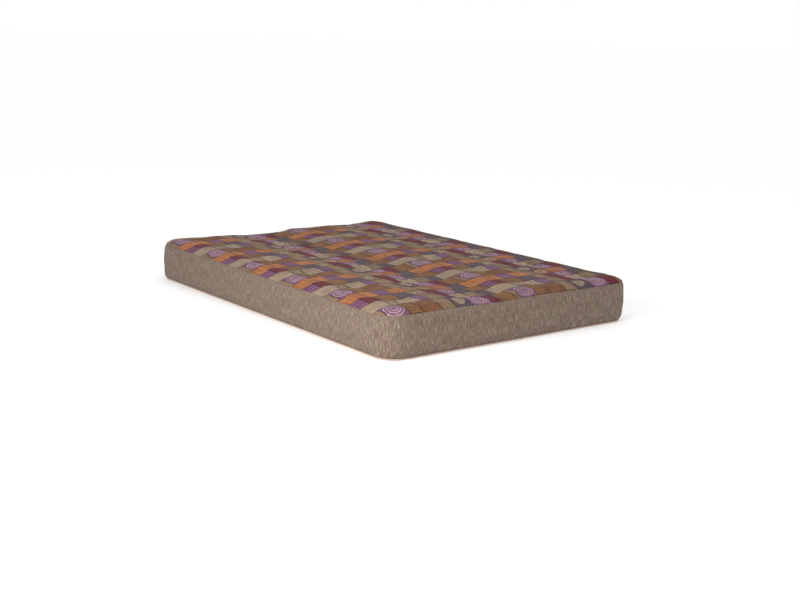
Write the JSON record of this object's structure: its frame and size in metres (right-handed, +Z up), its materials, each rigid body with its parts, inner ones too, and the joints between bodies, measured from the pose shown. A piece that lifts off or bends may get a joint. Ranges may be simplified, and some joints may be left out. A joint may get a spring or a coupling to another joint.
{
  "type": "futon mattress",
  "caption": "Thick flat futon mattress that folds across its middle, in a patterned zip-off cover with plain boxing and a piped lower edge, filled with foam and cotton.",
  "frame": {"origin": "the middle of the underside, where it rests on its frame or the floor", "axes": "+X along the length, which is also the fold line; +Y from the seat half towards the back half, whose long edge holds the zip; +Z up, out of the patterned face"},
  "size_m": [1.905, 1.372, 0.2],
  "materials": {
    "patchwork_fabric": "woven tapestry in a patchwork of plum, violet, orange, cream, slate and olive blocks",
    "boxing_fabric": "taupe chenille with upright slubs",
    "piping_cotton": "natural cotton",
    "cord_cotton": "undyed cotton cord",
    "ticking_cotton": "undyed plain-woven cotton",
    "cotton_batting": "loose cotton felt",
    "foam": "open-cell polyurethane foam",
    "tuft_twine": "waxed cotton twine",
    "tuft_felt": "wool felt",
    "zip_tape": "woven polyester tape",
    "zip_coil": "nylon",
    "zip_metal": "nickel-plated zinc",
    "label_cloth": "blank satin ribbon"
  },
  "bodies": {
    "seat_half": {"cover_top_panel_seat": "patchwork_fabric", "cover_boxing_seat": "boxing_fabric", "cover_underside_seat": "boxing_fabric", "piping_sleeve_seat": "piping_cotton", "piping_cord_seat": "cord_cotton", "ticking_top_seat": "ticking_cotton", "ticking_border_seat": "ticking_cotton", "ticking_underside_seat": "ticking_cotton", "batting_bottom_seat": "cotton_batting", "foam_lower_seat": "foam", "batting_middle_seat": "cotton_batting", "foam_upper_seat": "foam", "batting_top_seat": "cotton_batting", "tuft_cords_seat": "tuft_twine", "tufts_top_seat": "tuft_felt", "tufts_underside_seat": "tuft_felt"},
    "back_half": {"cover_top_panel_back": "patchwork_fabric", "cover_boxing_back": "boxing_fabric", "cover_underside_back": "boxing_fabric", "piping_sleeve_back": "piping_cotton", "piping_cord_back": "cord_cotton", "ticking_top_back": "ticking_cotton", "ticking_border_back": "ticking_cotton", "ticking_underside_back": "ticking_cotton", "batting_bottom_back": "cotton_batting", "foam_lower_back": "foam", "batting_middle_back": "cotton_batting", "foam_upper_back": "foam", "batting_top_back": "cotton_batting", "tuft_cords_back": "tuft_twine", "tufts_top_back": "tuft_felt", "tufts_underside_back": "tuft_felt", "zip_tape_upper": "zip_tape", "zip_tape_lower": "zip_tape", "zip_coil_upper": "zip_coil", "zip_coil_lower": "zip_coil", "zip_end_stops": "zip_metal", "care_label": "label_cloth"},
    "zip_slider": {"zip_slider": "zip_metal"},
    "zip_pull": {"zip_pull": "zip_metal"}
  },
  "joints": [
    {"name": "fold", "type": "hinge", "parent": "seat_half", "child": "back_half", "pos_m": [0, 0, 0.201], "axis": [1, 0, 0], "range_deg": [0, 180]},
    {"name": "zip_run", "type": "slide", "parent": "back_half", "child": "zip_slider", "axis": [-1, 0, 0], "range_m": [0, 1.54]},
    {"name": "pull_flip", "type": "hinge", "parent": "zip_slider", "child": "zip_pull", "pos_m": [0.77, 0.6823, 0.062], "axis": [0, 0, -1], "range_deg": [0, 180]}
  ]
}
